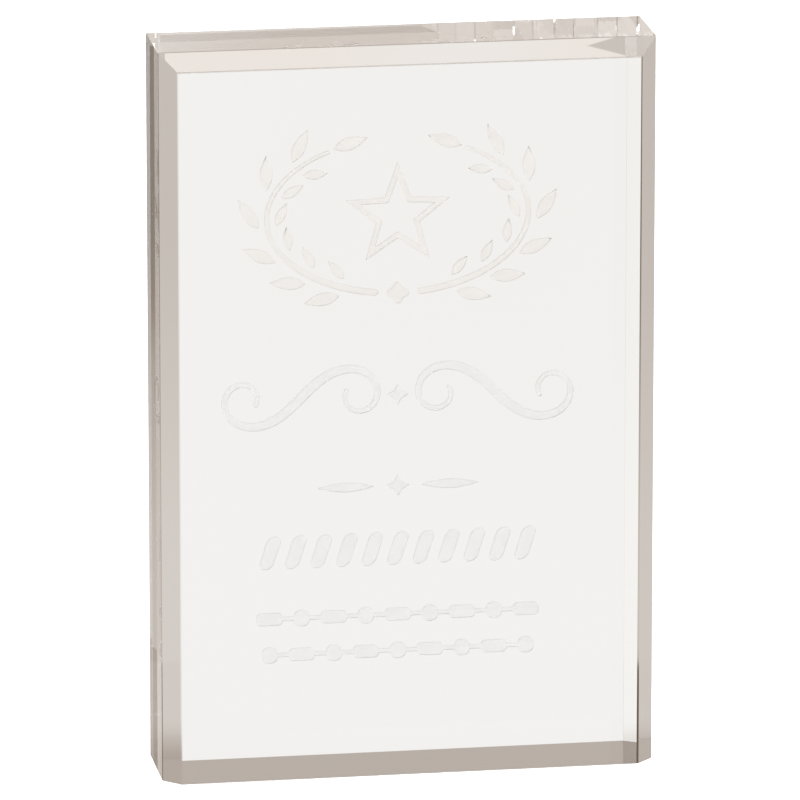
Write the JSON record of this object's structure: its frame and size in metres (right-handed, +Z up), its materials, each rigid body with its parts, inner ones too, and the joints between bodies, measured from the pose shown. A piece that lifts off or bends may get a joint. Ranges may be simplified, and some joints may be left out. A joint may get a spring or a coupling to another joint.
{
  "type": "crystal award",
  "caption": "Clear bevelled crystal slab award on a flat base, engraved from behind with a laurel wreath, star, scrolls and ornamental rules filled with pale enamel.",
  "frame": {"origin": "middle of the flat base, on the surface it stands on", "axes": "+Z up along the height, -Y out of the front face towards the reader, +X to the reader's right"},
  "size_m": [0.1016, 0.0254, 0.1524],
  "materials": {
    "clear_crystal": "polished clear optical crystal, flat faces and bevels, fine polished arrises",
    "emblem_enamel": "matt warm-white enamel, slightly grainy",
    "letter_enamel": "matt neutral-white enamel, slightly grainy"
  },
  "bodies": {
    "root": {"crystal_block": "clear_crystal", "leaf_left_inner_1": "emblem_enamel", "leaf_left_inner_2": "emblem_enamel", "leaf_left_inner_3": "emblem_enamel", "leaf_left_inner_4": "emblem_enamel", "leaf_left_inner_5": "emblem_enamel", "leaf_left_inner_6": "emblem_enamel", "leaf_left_outer_1": "emblem_enamel", "leaf_left_outer_2": "emblem_enamel", "leaf_left_outer_3": "emblem_enamel", "leaf_left_outer_4": "emblem_enamel", "leaf_left_outer_5": "emblem_enamel", "leaf_left_outer_6": "emblem_enamel", "leaf_left_tip": "emblem_enamel", "leaf_right_inner_1": "emblem_enamel", "leaf_right_inner_2": "emblem_enamel", "leaf_right_inner_3": "emblem_enamel", "leaf_right_inner_4": "emblem_enamel", "leaf_right_inner_5": "emblem_enamel", "leaf_right_inner_6": "emblem_enamel", "leaf_right_outer_1": "emblem_enamel", "leaf_right_outer_2": "emblem_enamel", "leaf_right_outer_3": "emblem_enamel", "leaf_right_outer_4": "emblem_enamel", "leaf_right_outer_5": "emblem_enamel", "leaf_right_outer_6": "emblem_enamel", "leaf_right_tip": "emblem_enamel", "message_rule_lower": "letter_enamel", "message_rule_upper": "letter_enamel", "name_bar_01": "letter_enamel", "name_bar_02": "letter_enamel", "name_bar_03": "letter_enamel", "name_bar_04": "letter_enamel", "name_bar_05": "letter_enamel", "name_bar_06": "letter_enamel", "name_bar_07": "letter_enamel", "name_bar_08": "letter_enamel", "name_bar_09": "letter_enamel", "name_bar_10": "letter_enamel", "name_bar_11": "letter_enamel", "star": "emblem_enamel", "subtitle_dash_left": "letter_enamel", "subtitle_dash_right": "letter_enamel", "subtitle_fleuron": "letter_enamel", "title_fleuron": "letter_enamel", "title_scroll_left": "letter_enamel", "title_scroll_right": "letter_enamel", "wreath_stem_left": "emblem_enamel", "wreath_stem_right": "emblem_enamel", "wreath_tie": "emblem_enamel"}
  },
  "joints": []
}
